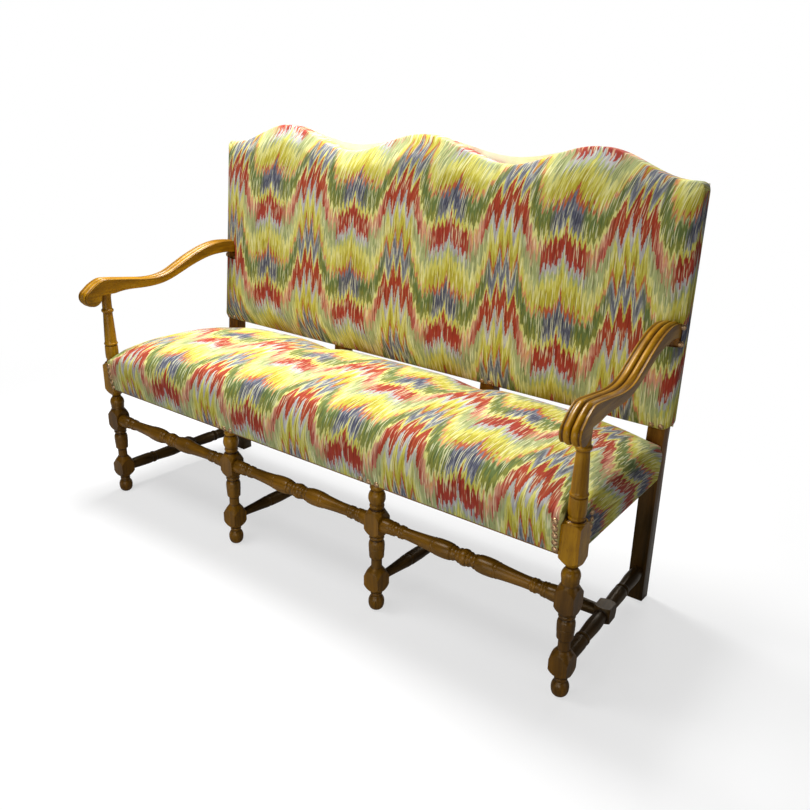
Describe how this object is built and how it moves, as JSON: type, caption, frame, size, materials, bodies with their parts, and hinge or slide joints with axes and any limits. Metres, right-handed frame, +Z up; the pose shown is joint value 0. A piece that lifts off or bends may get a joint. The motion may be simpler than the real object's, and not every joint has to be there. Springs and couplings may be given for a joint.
{
  "type": "sofa",
  "caption": "Long sofa with turned legs and stretchers, open scrolled arms, a domed upholstered seat and a raked upholstered back with a humped top edge.",
  "frame": {"origin": "on the floor, under the middle of the sofa's overall box", "axes": "+X to the right for someone who faces the sofa, +Y toward the back, +Z up; the front faces -Y"},
  "size_m": [1.6154, 0.6228, 1.1122],
  "materials": {
    "turned_wood": "satin varnish, honey brown",
    "dark_wood": "satin varnish, dark brown",
    "rail_wood": "plain, unvarnished",
    "patterned_cloth": "woven flame stitch in yellow, green, brick red, rose and grey",
    "cream_cloth": "plain woven cream",
    "stuffing": "matte",
    "webbing": "coarse weave",
    "black_cloth": "matte",
    "nail_brass": "aged, satin"
  },
  "bodies": {
    "root": {"arm_left": "turned_wood", "arm_right": "turned_wood", "front_leg_left": "turned_wood", "front_leg_right": "turned_wood", "front_leg_middle_left": "turned_wood", "front_leg_middle_right": "turned_wood", "front_stretcher_left": "turned_wood", "front_stretcher_centre": "turned_wood", "front_stretcher_right": "turned_wood", "rear_leg_left": "dark_wood", "rear_leg_right": "dark_wood", "back_upright_left": "dark_wood", "back_upright_right": "dark_wood", "side_stretcher_left": "dark_wood", "side_stretcher_right": "dark_wood", "short_stretcher_left": "dark_wood", "short_stretcher_right": "dark_wood", "long_stretcher": "dark_wood", "front_seat_rail": "rail_wood", "rear_seat_rail": "rail_wood", "side_seat_rail_left": "rail_wood", "side_seat_rail_right": "rail_wood", "cross_rail_left": "rail_wood", "cross_rail_right": "rail_wood", "back_top_rail": "rail_wood", "back_bottom_rail": "rail_wood", "seat_cover": "patterned_cloth", "back_cover": "patterned_cloth", "back_lining": "cream_cloth", "seat_padding": "stuffing", "back_padding": "stuffing", "seat_webbing": "webbing", "back_webbing": "webbing", "dust_cover": "black_cloth", "nail_left_front_1": "nail_brass", "nail_left_front_2": "nail_brass", "nail_left_front_3": "nail_brass", "nail_left_front_4": "nail_brass", "nail_left_front_5": "nail_brass", "nail_left_side_1": "nail_brass", "nail_left_side_2": "nail_brass", "nail_left_side_3": "nail_brass", "nail_left_side_4": "nail_brass", "nail_left_side_5": "nail_brass", "nail_right_front_1": "nail_brass", "nail_right_front_2": "nail_brass", "nail_right_front_3": "nail_brass", "nail_right_front_4": "nail_brass", "nail_right_front_5": "nail_brass", "nail_right_side_1": "nail_brass", "nail_right_side_2": "nail_brass", "nail_right_side_3": "nail_brass", "nail_right_side_4": "nail_brass", "nail_right_side_5": "nail_brass"}
  },
  "joints": []
}
